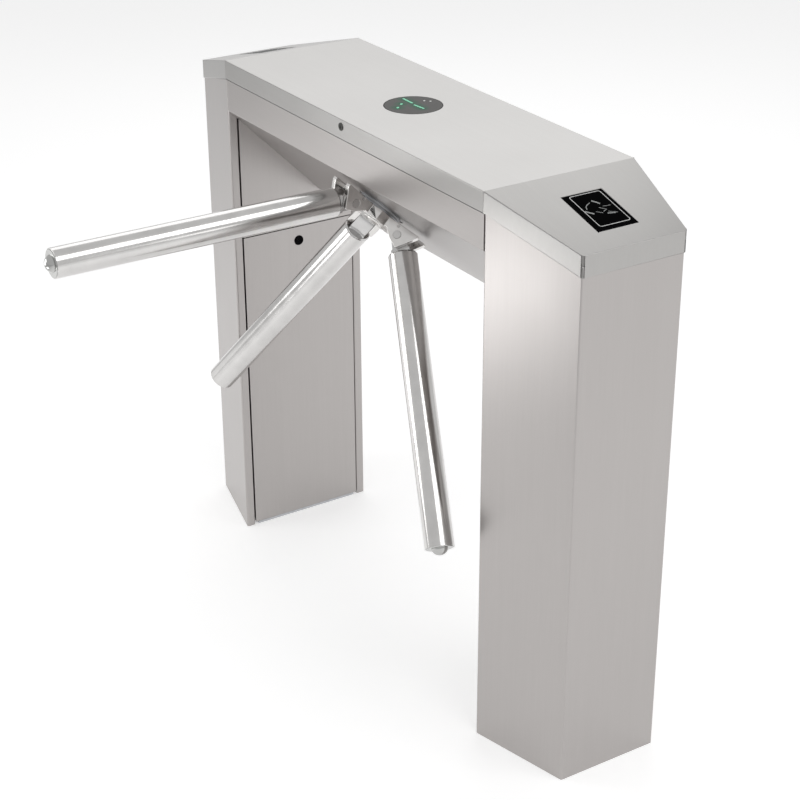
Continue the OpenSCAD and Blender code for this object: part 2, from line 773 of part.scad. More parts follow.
module main_shaft() color(iron) hub_frame() {
  translate([0, 0, shaft_end]) cylinder(h = hub_front - cap_depth - shaft_end, r = shaft_r);
  translate([0, 0, hub_lift - flange_t]) difference() {
    cylinder(h = flange_t, r = flange_r);
    for (k = [0 : 2]) bolt_place(k) bore(flange_t, screw_r + run);
  }
}

// A disc on the shaft with a spacer in front of it, up to the height front
module shaft_disc(z, front, disc_t) hub_frame() translate([0, 0, z]) difference() {
  union() {
    children();
    translate([0, 0, disc_t]) cylinder(h = front - z - disc_t, r = spacer_r);
  }
  bore(front - z, shaft_r);
}

module index_disc() {
  notch_depth = 9;
  color(iron) difference() {
    shaft_disc(index_z, rear_face - seat, pawl_t) cylinder(h = pawl_t, r = index_r);
    for (k = [0 : 2]) hub_frame() rotate([0, 0, 180 + 120 * k])
      translate([index_r - notch_depth, -notch_w / 2, index_z - cut])
        cube([notch_depth + cut, notch_w, pawl_t + 2 * cut]);
  }
}

// Involute teeth of a pressure angle of 20 degrees, with a little backlash
backlash_share = 0.06;
tip_share = 0.95;
flank_share = 1.1;
root_share = 1.25;
function involute(a) = tan(a) - a * PI / 180;
function half_tooth(r, n) = let (base = gear_m * n / 2 * cos(20))
  (90 / n) * (1 - backlash_share) + (involute(20) - involute(acos(min(1, base / r)))) * 180 / PI;
function flank(n) = let (pitch = gear_m * n / 2, low = max(pitch * cos(20), pitch - flank_share * gear_m))
  [for (i = [0 : 4]) let (r = low + (pitch + tip_share * gear_m - low) * i / 4) [r, half_tooth(r, n)]];
function polar(r, a) = [r * cos(a), r * sin(a)];
function tooth(n, middle) = let (f = flank(n), root = gear_m * n / 2 - root_share * gear_m)
  concat([polar(root, middle - f[0][1])], [for (p = f) polar(p[0], middle - p[1])],
    [for (p = reversed(f)) polar(p[0], middle + p[1])], [polar(root, middle + f[0][1])]);
module toothed(n) linear_extrude(gear_w) polygon([for (k = [0 : n - 1]) each tooth(n, 360 * k / n)]);

module damper_gear() {
  hole_r = 8;
  hole_at = gear_m * gear_n / 3;
  color(alloy) difference() {
    shaft_disc(gear_z, index_z, gear_w) toothed(gear_n);
    for (a = [30 : 60 : 330]) hub_frame() rotate([0, 0, a]) translate([hole_at, 0, gear_z]) bore(gear_w, hole_r);
  }
}

module sensor_disc() {
  window_d = 10;
  window_b = 8;
  color(black) difference() {
    shaft_disc(vane_z, gear_z, vane_t) cylinder(h = vane_t, r = vane_r);
    for (k = [0 : 2]) hub_frame() rotate([0, 0, 30 + 120 * k])
      translate([vane_r - window_d, -window_b / 2, vane_z - cut])
        cube([window_d + cut, window_b, vane_t + 2 * cut]);
  }
}

module shaft_nut() color(iron) hub_frame() translate([0, 0, vane_z - shaft_nut_t]) difference() {
  hexagon(shaft_nut_t, shaft_nut_r);
  bore(shaft_nut_t, shaft_r);
}

// Damper: a closed drum behind the rear plate, with a pinion that meshes with the gear

damper_gap = 3;
damper_z = gear_z + gear_w + damper_gap;
spindle_in = 8;
spindle_l = damper_gap + spindle_in;

module damper_frame() hub_frame() translate([damper_x, 0, 0]) children();

module damper_pinion() color("#e8e2d0") damper_frame() translate([0, 0, gear_z]) {
  rotate([0, 0, 180 + 180 / pinion_n]) toothed(pinion_n);
  translate([0, 0, -damper_gap]) cylinder(h = damper_gap + gear_w + spindle_l, r = pin_r);
}

module damper_body() {
  ear = 12;
  ear_thick = 3;
  color(black) damper_frame() difference() {
    union() {
      translate([0, 0, damper_z]) cylinder(h = rear_face - damper_z, r = damper_r);
      for (s = [-1, 1]) translate([-ear / 2, s * damper_r - ear / 2, rear_face - ear_thick])
        cube([ear, ear, ear_thick]);
    }
    translate([0, 0, damper_z - cut]) cylinder(h = spindle_l + cut, r = pin_r + run);
  }
}

// Fork sensor on a post behind the rear plate, round the edge of the sensor disc
module turn_sensor() {
  post_r = 5;
  post_out = 28;
  grip = 6;
  post_y = vane_r + post_out;
  fork_l = post_out + grip;
  fork_b = 18;
  jaw = 5;
  fork_gap = 1.5;
  fork_z = vane_z - fork_gap - jaw;
  fork_h = vane_t + 2 * fork_gap + 2 * jaw;
  color(black) hub_frame() {
    translate([0, post_y, fork_z]) cylinder(h = rear_face - fork_z, r = post_r);
    difference() {
      translate([-fork_b / 2, post_y - fork_l, fork_z]) cube([fork_b, fork_l, fork_h]);
      translate([-fork_b / 2 - cut, post_y - fork_l - cut, fork_z + jaw])
        cube([fork_b + 2 * cut, fork_l / 2 - jaw + cut, fork_h - 2 * jaw]);
    }
  }
}

// Pawls: levers on fixed pins, pushed towards the index disc by the solenoids' plungers

nose_shares = [[0.3, 0.1], [0.27, -0.13], [0.33, -0.73], [0.37, -0.97], [0.23, -1], [-0.03, -0.73], [-0.3, -0.1]];
boss_r = 10;
roller_r = 3.5;
roller_y = 1.5;

module pawl_pins() {
  head_h = 3;
  head_rim = 2;
  head_r = pin_r + head_rim;
  color(iron) for (s = [-1, 1]) pawl_frame(s) {
    translate([0, 0, -seat]) cylinder(h = rear_z - pawl_z + seat, r = pin_r - run);
    translate([0, 0, -seat - head_h]) cylinder(h = head_h, r = head_r);
  }
}

module lock_pawl(s) {
  hub_step = 2;
  tail_w = 5.5;
  color(alloy) pawl_frame(s) difference() {
    union() {
      cylinder(h = rear_face - pawl_z - seat, r = boss_r - hub_step);
      cylinder(h = pawl_t, r = boss_r);
      linear_extrude(pawl_t) polygon(nose_shares * pawl_l);
      translate([-tail_l, -tail_w / 2, 0]) cube([tail_l, tail_w, pawl_t]);
      translate([-tail_l, roller_y, 0]) cylinder(h = pawl_t, r = roller_r);
    }
    bore(rear_face - pawl_z, pin_r);
  }
}
module lock_pawl_left() lock_pawl(1);
module lock_pawl_right() lock_pawl(-1);

module lock_solenoids() {
  coil_step = 4;
  coil_z = pawl_t / 2 - coil_w / 2 + coil_step;
  color(iron) for (s = [-1, 1]) pawl_frame(s) difference() {
    translate([-tail_l - coil_w / 2, coil_y, coil_z]) cube([coil_w, coil_l, rear_face - pawl_z - coil_z]);
    translate([-tail_l, coil_y, pawl_t / 2]) rotate([-90, 0, 0]) bore(coil_l, pin_r);
  }
}

module plunger(s) {
  face_y = roller_y + roller_r + seat;
  collar = 2;
  collar_y = coil_y + coil_l + stroke + cut;
  color(chrome) pawl_frame(s) translate([-tail_l, face_y, pawl_t / 2]) rotate([-90, 0, 0]) {
    cylinder(h = collar_y - face_y, r = pin_r - run);
    translate([0, 0, collar_y - face_y]) cylinder(h = collar, r = pin_r + collar);
  }
}
module plunger_left() plunger(1);
module plunger_right() plunger(-1);

// Electrics in the beam

module cable_duct() {
  duct_h = 40;
  duct_d = 25;
  duct_wall = 2;
  duct_up = 46;
  duct_z = beam_z + duct_up;
  lid_gap = 1;
  end_gap = 12;
  front = back_y - duct_d;
  top = duct_z + duct_h;
  path = [[front, top - duct_wall - lid_gap], [front, duct_z], [back_y, duct_z], [back_y, top], [front, top]];
  color(pale) translate([end_gap - leg_x, 0, 0]) along_x(2 * leg_x - 2 * end_gap) polygon(folded(path, duct_wall));
}

// Power supply and control board stand this far from the legs
end_room = 75;

module power_supply() {
  case_l = 150;
  case_d = 78;
  case_h = 40;
  case_wall = 4;
  back_room = 4;
  bay_l = 16;
  bay_floor = 14;
  slot_w = 5;
  pitch = 11;
  terminal_l = 10;
  terminal_w = 8;
  terminal_h = 9;
  color("#a9adb2") translate([leg_x - end_room - case_l, back_y - back_room - case_d, beam_z + sheet]) {
    difference() {
      cube([case_l, case_d, case_h]);
      translate([-cut, case_wall, bay_floor]) cube([bay_l + cut, case_d - 2 * case_wall, case_h]);
      for (i = [0 : 9]) translate([2 * bay_l + i * pitch, 2 * case_wall, case_h - case_wall / 2])
        cube([slot_w, case_d - 4 * case_wall, case_wall]);
    }
    for (i = [0 : 5]) translate([case_wall, 3 * case_wall / 2 + i * pitch, bay_floor - cut])
      cube([terminal_l, terminal_w, terminal_h + cut]);
  }
}

module control_board() {
  board_l = 180;
  board_h = 110;
  board_up = 120;
  stand_r = 3.5;
  stand_l = 10;
  hole_inset = 8;
  plug_l = 17;
  plug_d = 9;
  plug_h = 12;
  plug_pitch = 21;
  chip_w = 24;
  chip_t = 3;
  relay_l = 22;
  relay_d = 14;
  relay_h = 30;
  can_r = 6;
  can_h = 12;
  sink = board_t / 2;
  color("#1f5a3a") translate([end_room - leg_x, back_y - stand_l - board_t, beam_z + board_up]) {
    cube([board_l, board_t, board_h]);
    for (x = [hole_inset, board_l - hole_inset], z = [hole_inset, board_h - hole_inset])
      translate([x, sink, z]) rotate([-90, 0, 0]) cylinder(h = stand_l + sink, r = stand_r);
    for (i = [0 : 6]) translate([2 * hole_inset + i * plug_pitch, -plug_d, 0]) cube([plug_l, plug_d + sink, plug_h]);
    translate([board_l / 3, -chip_t, board_h / 2]) cube([chip_w, chip_t + sink, chip_w]);
    translate([board_l * 2 / 3, -relay_d, board_h / 2]) cube([relay_l, relay_d + sink, relay_h]);
    translate([board_l / 6, sink, board_h * 2 / 3]) rotate([90, 0, 0]) cylinder(h = can_h + sink, r = can_r);
  }
}

leg_shell_near();
leg_shell_far();
base_plates();
cable_grommets();
beam_shell();
upper_panel_near();
upper_panel_far();
cover_keeper();
cable_duct();
power_supply();
control_board();
mechanism_plate();
mounting_nuts();
bearing_housing();
housing_bolts();
shaft_bearings();
pawl_pins();
lock_solenoids();
damper_body();
turn_sensor();
tripod_hub();
hub_bolts();
hub_cap();
main_shaft();
index_disc();
damper_gear();
sensor_disc();
shaft_nut();
arm_pins();
arm_root_a();
arm_root_b();
arm_root_c();
arm_tube_a();
arm_tube_b();
arm_tube_c();
arm_cap_a();
arm_cap_b();
arm_cap_c();
lock_pawl_left();
lock_pawl_right();
plunger_left();
plunger_right();
damper_pinion();
top_cover();
display_lens();
display_housing();
display_board();
reader_window_near();
reader_window_far();
reader_module_near();
reader_module_far();
cover_lock();
cover_lock_cam();
door_near();
door_far();
door_lock_near();
door_lock_far();
door_cam_near();
door_cam_far();
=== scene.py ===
import math

import bmesh
import bpy
from mathutils import Matrix, Vector


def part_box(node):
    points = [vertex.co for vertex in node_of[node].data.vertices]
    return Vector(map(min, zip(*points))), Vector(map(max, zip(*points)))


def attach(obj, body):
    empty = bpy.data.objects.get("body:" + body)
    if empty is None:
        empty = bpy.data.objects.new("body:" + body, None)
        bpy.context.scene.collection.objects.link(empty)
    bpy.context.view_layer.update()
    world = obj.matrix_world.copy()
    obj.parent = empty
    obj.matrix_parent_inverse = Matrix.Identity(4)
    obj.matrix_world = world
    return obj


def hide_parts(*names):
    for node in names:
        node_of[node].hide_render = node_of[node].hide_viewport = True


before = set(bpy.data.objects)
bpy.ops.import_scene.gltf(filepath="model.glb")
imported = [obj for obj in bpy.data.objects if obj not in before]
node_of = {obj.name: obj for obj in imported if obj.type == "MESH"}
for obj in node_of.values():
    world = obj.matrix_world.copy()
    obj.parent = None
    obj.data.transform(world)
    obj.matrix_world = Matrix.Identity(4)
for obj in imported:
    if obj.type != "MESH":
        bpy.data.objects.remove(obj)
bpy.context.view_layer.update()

# Camera: it stands on the walkway side, beyond the near leg, and looks down on the turnstile
# from the photograph's angle. It is made first, and nothing moves it later.

camera_place = (2.553, -1.629, 1.920)
azimuth, elevation, roll = (math.radians(angle) for angle in (57.929, 26.269, -0.281))
photo_px, focal_px, sensor_mm = 800, 1856.45, 36

away = Vector((math.sin(azimuth) * math.cos(elevation),
               -math.cos(azimuth) * math.cos(elevation),
               math.sin(elevation)))
level = Vector((math.cos(azimuth), math.sin(azimuth), 0))
upright = away.cross(level)
to_right = level * math.cos(roll) + upright * math.sin(roll)
to_top = upright * math.cos(roll) - level * math.sin(roll)
stand = Matrix((to_right, to_top, away)).transposed().to_4x4()
stand.translation = camera_place

camera = bpy.data.objects.new("camera", bpy.data.cameras.new("camera"))
camera.data.sensor_width = sensor_mm
camera.data.lens = sensor_mm * focal_px / photo_px
camera.matrix_world = stand
bpy.context.collection.objects.link(camera)
bpy.context.scene.camera = camera


# Leg shells, doors and upper panels: stainless sheet with an upright brushed grain, folded on
# a press and welded at the seams. The grain is fine, and rolling leaves faint long streaks.

sheet_dark, sheet_light = (0.437, 0.416, 0.406), (0.453, 0.432, 0.422)
sheet_bright, sheet_dull = 0.29, 0.33
sheet_cloud = 3.5
streak_share = 0.35
grain_strength, grain_depth = 0.08, 0.00003


def new_material(name):
    material = bpy.data.materials.new(name)
    material.use_nodes = True
    nodes, links = material.node_tree.nodes, material.node_tree.links
    return material, nodes, links, nodes["Principled BSDF"]


def place_node(nodes, links, scale=(1, 1, 1), turn=(0, 0, 0)):
    """Object coordinates through a Mapping node, so that a pattern can be stretched or turned."""
    where = nodes.new("ShaderNodeTexCoord")
    fit = nodes.new("ShaderNodeMapping")
    fit.inputs["Scale"].default_value = scale
    fit.inputs["Rotation"].default_value = turn
    links.new(where.outputs["Object"], fit.inputs["Vector"])
    return fit.outputs["Vector"]


def noise(nodes, links, vector, scale=1.0, detail=2.0, roughness=0.5):
    cloud = nodes.new("ShaderNodeTexNoise")
    cloud.inputs["Scale"].default_value = scale
    cloud.inputs["Detail"].default_value = detail
    cloud.inputs["Roughness"].default_value = roughness
    links.new(vector, cloud.inputs["Vector"])
    return cloud.outputs["Fac"]


def between(nodes, links, fac, low, high, fac_low=0.3, fac_high=0.7):
    """A number from low to high as fac goes from fac_low to fac_high."""
    span = nodes.new("ShaderNodeMapRange")
    for key, value in (("From Min", fac_low), ("From Max", fac_high),
                       ("To Min", low), ("To Max", high)):
        span.inputs[key].default_value = value
    links.new(fac, span.inputs["Value"])
    return span.outputs["Result"]


def tint(nodes, links, fac, dark, light):
    """A colour from dark to light as fac goes from 0 to 1. Each is a colour or a node's output."""
    mix = nodes.new("ShaderNodeMix")
    mix.data_type = "RGBA"
    for key, colour in (("A", dark), ("B", light)):
        if isinstance(colour, bpy.types.NodeSocket):
            links.new(colour, mix.inputs[key])
        else:
            mix.inputs[key].default_value = (*colour, 1)
    links.new(fac, mix.inputs["Factor"])
    return mix.outputs["Result"]


def relief(nodes, links, height, strength, depth):
    bump = nodes.new("ShaderNodeBump")
    bump.inputs["Strength"].default_value = strength
    bump.inputs["Distance"].default_value = depth
    links.new(height, bump.inputs["Height"])
    return bump.outputs["Normal"]


def brushed_sheet(name, grain, streak, dark=sheet_dark, light=sheet_light):
    """Brushed sheet. Grain and streak are scales along X, Y and Z, smallest where the lines run."""
    material, nodes, links, bsdf = new_material(name)
    fine = noise(nodes, links, place_node(nodes, links, grain), detail=3, roughness=0.6)
    long = noise(nodes, links, place_node(nodes, links, streak))
    cloud = noise(nodes, links, place_node(nodes, links), sheet_cloud)
    both = nodes.new("ShaderNodeMath")
    both.operation = "MULTIPLY_ADD"
    both.inputs[1].default_value = streak_share
    links.new(long, both.inputs[0])
    links.new(fine, both.inputs[2])
    shade = between(nodes, links, both.outputs[0], 0, 1, fac_low=0.45, fac_high=0.9)
    links.new(tint(nodes, links, shade, dark, light), bsdf.inputs["Base Color"])
    links.new(between(nodes, links, cloud, sheet_bright, sheet_dull), bsdf.inputs["Roughness"])
    links.new(relief(nodes, links, fine, grain_strength, grain_depth), bsdf.inputs["Normal"])
    bsdf.inputs["Metallic"].default_value = 1
    return material


def coat(piece, material):
    piece.data.materials.clear()
    piece.data.materials.append(material)


def finish_with(material, *names):
    for name in names:
        coat(node_of[name], material)


upright_grain = brushed_sheet("brushed_sheet_upright", grain=(700, 700, 9), streak=(60, 60, 0.9))
finish_with(upright_grain, "leg_shell_near", "leg_shell_far", "door_near", "door_far",
            "upper_panel_near", "upper_panel_far")


# Beam shell and cover keeper: the same sheet with its grain along the beam. The beam is one
# piece, folded back under 45 degrees where the hub sits.

long_grain = brushed_sheet("brushed_sheet_lengthwise", grain=(9, 700, 700), streak=(0.9, 60, 60))
finish_with(long_grain, "beam_shell", "cover_keeper")


# Top cover: one sheet with the flat top, the two slopes and the skirt all round. Its outer
# folds have the press tool's radius, and the display and reader cut-outs keep sharp edges.

cover_dark, cover_light = (0.422, 0.414, 0.404), (0.438, 0.430, 0.420)
cover_fold_r = 0.0016
cover_fold_steps = 3
least_fold_angle = 10
least_fold_length = 0.03
cover_middle_depth = 0.09
cover_middle_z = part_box("top_cover")[1].z - cover_middle_depth
same_point = 2e-6
flat_angle = math.radians(0.4)
broad_face_weight = 100


def weighted(piece):
    """Broad faces keep their own direction, and the narrow ones at an edge turn between them."""
    for face in piece.data.polygons:
        face.use_smooth = True
    even = piece.modifiers.new("even", "WEIGHTED_NORMAL")
    even.weight = broad_face_weight
    even.keep_sharp = True


def eased(node, name, radius, steps, least_angle, chosen=lambda edge: True):
    """A merged copy of a CAD node with its chosen edges rounded. It stands for the node."""
    form = bmesh.new()
    form.from_mesh(node_of[node].data)
    bmesh.ops.remove_doubles(form, verts=form.verts, dist=same_point)
    bmesh.ops.dissolve_limit(form, angle_limit=flat_angle, verts=form.verts, edges=form.edges)
    form.normal_update()
    edges = [e for e in form.edges if len(e.link_faces) == 2
             and e.calc_face_angle() > math.radians(least_angle) and chosen(e)]
    bmesh.ops.bevel(form, geom=edges, offset=radius, segments=steps, profile=0.5,
                    affect="EDGES", clamp_overlap=False)
    mesh = bpy.data.meshes.new(name)
    form.to_mesh(mesh)
    form.free()
    for edge in mesh.edges:
        edge.use_edge_sharp = False
    piece = bpy.data.objects.new(name, mesh)
    bpy.context.collection.objects.link(piece)
    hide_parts(node)
    return piece


def outer_fold(edge):
    """The cover's folds on the outside: round the flat top and the slopes, and at the corners."""
    a, b = edge.verts[0].co, edge.verts[1].co
    turned_out = sum((f.normal for f in edge.link_faces), Vector()).normalized()
    middle = (a + b) / 2
    outward = Vector((middle.x, middle.y, middle.z - cover_middle_z))
    long_enough = (a - b).length > least_fold_length
    return long_enough and turned_out.dot(outward) > 0 and edge.is_convex


cover = eased("top_cover", "top_cover_folded", cover_fold_r, cover_fold_steps, least_fold_angle,
              outer_fold)
coat(cover, brushed_sheet("brushed_sheet_cover", grain=(9, 700, 60), streak=(0.9, 60, 8),
                          dark=cover_dark, light=cover_light))
weighted(cover)
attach(cover, "cover")


# Tripod hub: a stainless casting, ground flat on its faces and polished. Its edges are broken
# by hand, so each one is a narrow bright line.

hub_edge_r = 0.0009
hub_edge_steps = 2
least_edge_angle = 28


def shades(colour, darker, lighter):
    return [[c * share for c in colour] for share in (darker, lighter)]


def polished(name, colour, rough, cloud_scale=40, wave=0.05, wave_depth=0.0002):
    """Bare metal with a cloudy polish and shallow waves in its surface."""
    material, nodes, links, bsdf = new_material(name)
    cloud = noise(nodes, links, place_node(nodes, links), cloud_scale, detail=3)
    dark, light = shades(colour, darker=0.94, lighter=1.04)
    links.new(tint(nodes, links, between(nodes, links, cloud, 0, 1), dark, light),
              bsdf.inputs["Base Color"])
    links.new(between(nodes, links, cloud, low=rough * 0.85, high=rough * 1.2),
              bsdf.inputs["Roughness"])
    links.new(relief(nodes, links, cloud, wave, wave_depth), bsdf.inputs["Normal"])
    bsdf.inputs["Metallic"].default_value = 1
    return material


cast_steel = polished("cast_steel_polished", (0.74, 0.725, 0.71), rough=0.17, cloud_scale=60,
                      wave=0.12, wave_depth=0.0004)
hub = eased("tripod_hub", "tripod_hub_ground", hub_edge_r, hub_edge_steps, least_edge_angle)
coat(hub, cast_steel)
weighted(hub)
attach(hub, "tripod")
finish_with(cast_steel, "hub_cap")
finish_with(polished("ground_pin", (0.62, 0.61, 0.60), rough=0.2), "arm_pins")


# Arms: stainless tube polished along its length, a cast root with a tang between the hub's
# ears, and an end plug with a round dome that is pressed in.

arm_steel = polished("arm_tube_polished", (0.66, 0.65, 0.64), rough=0.16, cloud_scale=30,
                     wave=0.02, wave_depth=0.0001)
root_steel = polished("arm_root_cast", (0.58, 0.575, 0.57), rough=0.18, cloud_scale=60,
                      wave=0.1, wave_depth=0.0003)
plug_steel = polished("arm_plug_turned", (0.50, 0.50, 0.49), rough=0.14)
for letter in "abc":
    finish_with(arm_steel, f"arm_tube_{letter}")
    finish_with(root_steel, f"arm_root_{letter}")
    finish_with(plug_steel, f"arm_cap_{letter}")


# Door locks and cover lock: small cam locks with a black lacquered head and a key slot. The
# cover's lock is worn to grey. The plug in each head is lacquered too, and bare steel behind.

lock_black = (0.003, 0.003, 0.0035)
lock_grey, plug_grey = (0.12, 0.12, 0.115), (0.11, 0.11, 0.105)
steel_grey = (0.36, 0.37, 0.39)
lacquer_ior = 1.1
door_plug_head, door_plug_steel = 0.4165, 0.4167
cover_plug_head, cover_plug_steel = 0.1405, 0.1403


def lacquered(name, colour, rough, grain=900, ior=1.5, shine=0.5):
    """Lacquer, moulding or printed glass with a fine even grain."""
    material, nodes, links, bsdf = new_material(name)
    bsdf.inputs["IOR"].default_value = ior
    bsdf.inputs["Specular IOR Level"].default_value = shine
    speck = noise(nodes, links, place_node(nodes, links), grain)
    dark, light = shades(colour, darker=0.8, lighter=1.3)
    links.new(tint(nodes, links, between(nodes, links, speck, 0, 1), dark, light),
              bsdf.inputs["Base Color"])
    links.new(between(nodes, links, speck, low=rough * 0.85, high=rough * 1.15),
              bsdf.inputs["Roughness"])
    links.new(relief(nodes, links, speck, strength=0.15, depth=0.0001), bsdf.inputs["Normal"])
    return material


def lock_plug(name, axis, head, body, colour):
    """Machined steel with a lacquered head: along the axis the head ends where the body starts."""
    material, nodes, links, bsdf = new_material(name)
    split, size = nodes.new("ShaderNodeSeparateXYZ"), nodes.new("ShaderNodeMath")
    size.operation = "ABSOLUTE"
    links.new(place_node(nodes, links), split.inputs["Vector"])
    links.new(split.outputs[axis], size.inputs[0])
    steel = between(nodes, links, size.outputs[0], 0, 1, head, body)
    links.new(tint(nodes, links, steel, colour, steel_grey), bsdf.inputs["Base Color"])
    links.new(steel, bsdf.inputs["Metallic"])
    bsdf.inputs["Roughness"].default_value = 0.4
    bsdf.inputs["IOR"].default_value = lacquer_ior
    return material


finish_with(lacquered("door_lock_lacquer", lock_black, rough=0.45, ior=lacquer_ior),
            "door_lock_near", "door_lock_far")
finish_with(lacquered("cover_lock_lacquer", lock_grey, rough=0.5, ior=lacquer_ior), "cover_lock")
finish_with(lock_plug("door_lock_plug", "X", door_plug_head, door_plug_steel, lock_black),
            "door_cam_near", "door_cam_far")
finish_with(lock_plug("cover_lock_plug", "Y", cover_plug_head, cover_plug_steel, plug_grey),
            "cover_lock_cam")


# Display: a smoked lens flush with the top, in a moulded cup. Its lit signs are rows of small
# green lamps and two white ones, made as thin discs on the lens, with a painted green glow
# round them in the lens's colour.

lens_grey, lens_painted_glow = (0.094, 0.092, 0.088), (0.010, 0.105, 0.052)
lens_rim_dark = (0.012, 0.012, 0.012)
lens_ior = 1.1
rim_dark_w = 0.0022
rim_dark_solid_w = rim_dark_w * 0.6
# How far from each lit spot the lens's painted green glow starts to fade, and where it ends.
glow_start, glow_reach = 0.002, 0.016
left_bar, left_lamps = ((-0.0385, 0.0052), (-0.0117, 0.0045)), 7
right_bar, right_lamps = ((0.0014, 0.0020), (0.0248, 0.0041)), 6
low_dots = ((-0.0164, -0.0130), (-0.0145, -0.0150), (-0.0026, -0.0288), (-0.0006, -0.0308))
white_dots = ((-0.0102, 0.0287), (-0.0021, 0.0360))
green_r, white_r, lamp_t, lamp_sides = 0.0021, 0.0018, 0.0003, 16
lens_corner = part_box("display_lens")[1]
lens_r, lamp_z = lens_corner.x, lens_corner.z + lamp_t / 2


def smoked_glass(name, spots):
    """Smoked glass, near black in a thin ring at its rim, with a painted green glow round each lit
    spot.
    """
    material, nodes, links, bsdf = new_material(name)
    flat = place_node(nodes, links, (1, 1, 0))
    nearest = None
    for spot in spots:
        gap = nodes.new("ShaderNodeVectorMath")
        gap.operation = "DISTANCE"
        gap.inputs[1].default_value = (*spot, 0)
        links.new(flat, gap.inputs[0])
        if nearest is None:
            nearest = gap.outputs["Value"]
            continue
        least = nodes.new("ShaderNodeMath")
        least.operation = "MINIMUM"
        links.new(nearest, least.inputs[0])
        links.new(gap.outputs["Value"], least.inputs[1])
        nearest = least.outputs[0]
    reach = nodes.new("ShaderNodeVectorMath")
    reach.operation = "LENGTH"
    links.new(flat, reach.inputs[0])
    # Painted glow: the lens's own colour turns green near each lit spot.
    near_spot = between(nodes, links, nearest, 1, 0, glow_start, glow_reach)
    painted_glow = tint(nodes, links, near_spot, lens_grey, lens_painted_glow)
    # The lens's colour turns near black in a thin ring at its rim.
    rim = between(nodes, links, reach.outputs["Value"], 0, 1, lens_r - rim_dark_w, lens_r - rim_dark_solid_w)
    links.new(tint(nodes, links, rim, painted_glow, lens_rim_dark), bsdf.inputs["Base Color"])
    bsdf.inputs["Roughness"].default_value = 0.25
    bsdf.inputs["IOR"].default_value = lens_ior
    return material


def lamp_glow(name, colour, strength):
    """A speckled colour that also glows by that strength."""
    material, nodes, links, bsdf = new_material(name)
    speck = noise(nodes, links, place_node(nodes, links), scale=700, detail=1)
    dark, light = shades(colour, darker=0.7, lighter=1)
    shade = tint(nodes, links, between(nodes, links, speck, 0, 1), dark, light)
    links.new(shade, bsdf.inputs["Base Color"])
    links.new(shade, bsdf.inputs["Emission Color"])
    bsdf.inputs["Emission Strength"].default_value = strength
    bsdf.inputs["Roughness"].default_value = 0.4
    return material


def discs_tree(name):
    """Geometry nodes: a small disc on each point of the mesh, with its material."""
    tree = bpy.data.node_groups.new(name, "GeometryNodeTree")
    tree.interface.new_socket("Geometry", in_out="INPUT", socket_type="NodeSocketGeometry")
    for label, kind in (("Radius", "NodeSocketFloat"), ("Thickness", "NodeSocketFloat"),
                        ("Sides", "NodeSocketInt"), ("Finish", "NodeSocketMaterial")):
        tree.interface.new_socket(label, in_out="INPUT", socket_type=kind)
    tree.interface.new_socket("Geometry", in_out="OUTPUT", socket_type="NodeSocketGeometry")
    start, points, disc, place, real, paint, end = (tree.nodes.new(kind) for kind in (
        "NodeGroupInput", "GeometryNodeMeshToPoints", "GeometryNodeMeshCylinder",
        "GeometryNodeInstanceOnPoints", "GeometryNodeRealizeInstances",
        "GeometryNodeSetMaterial", "NodeGroupOutput"))
    for giver, given, taker, taken in (
            (start, "Geometry", points, "Mesh"), (start, "Radius", disc, "Radius"),
            (start, "Thickness", disc, "Depth"), (start, "Sides", disc, "Vertices"),
            (points, "Points", place, "Points"), (disc, "Mesh", place, "Instance"),
            (place, "Instances", real, "Geometry"), (real, "Geometry", paint, "Geometry"),
            (start, "Finish", paint, "Material"), (paint, "Geometry", end, "Geometry")):
        tree.links.new(giver.outputs[given], taker.inputs[taken])
    return tree


def as_plain_mesh(piece):
    """The piece's evaluated form as its own mesh, without modifiers."""
    bpy.context.view_layer.update()
    live = piece.evaluated_get(bpy.context.evaluated_depsgraph_get())
    shape = bpy.data.meshes.new_from_object(live)
    piece.modifiers.clear()
    piece.data = shape
    return piece


def grown(name, points, tree, settings):
    """A piece that a geometry node tree grows from points, as a plain mesh."""
    mesh = bpy.data.meshes.new(name)
    mesh.from_pydata([tuple(p) for p in points], [], [])
    piece = bpy.data.objects.new(name, mesh)
    bpy.context.collection.objects.link(piece)
    grow = piece.modifiers.new("grow", "NODES")
    grow.node_group = tree
    for item in tree.interface.items_tree:
        if item.in_out == "INPUT" and item.name in settings:
            grow[item.identifier] = settings[item.name]
    return as_plain_mesh(piece)


def on_lens(spots):
    return [Vector((x, y, lamp_z)) for x, y in spots]


def row(ends, count):
    """Points at even steps from one end of a bar of lamps to the other."""
    first, last = on_lens(ends)
    return [first.lerp(last, i / (count - 1)) for i in range(count)]


# The lit spots round which the lens has a painted green glow.
glow_spots = [(x, 0.005) for x in (-0.036, -0.025, -0.014)]
glow_spots += [(x, 0.003) for x in (0.004, 0.013, 0.022)]
glow_spots += [low_dots[0], low_dots[2]]
finish_with(smoked_glass("smoked_lens", glow_spots), "display_lens")
black_moulding = lacquered("black_moulding", (0.02, 0.02, 0.022), rough=0.5)
finish_with(black_moulding, "display_housing")

lamp_discs = discs_tree("lamp_discs")
green_spots = row(left_bar, left_lamps) + row(right_bar, right_lamps) + on_lens(low_dots)
green = grown("display_lamps_green", green_spots, lamp_discs,
              {"Radius": green_r, "Thickness": lamp_t, "Sides": lamp_sides,
               "Finish": lamp_glow("lamp_green", (0.17, 0.60, 0.38), 0.5)})
white = grown("display_lamps_white", on_lens(white_dots), lamp_discs,
              {"Radius": white_r, "Thickness": lamp_t, "Sides": lamp_sides,
               "Finish": lamp_glow("lamp_white", (0.75, 0.77, 0.75), 0.3)})
for lamps in (green, white):
    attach(lamps, "cover")


# Card readers: black printed glass, flush in each slope. A thin white line with round corners
# and a hand that holds a card are printed on it, and the reader sits behind the glass.

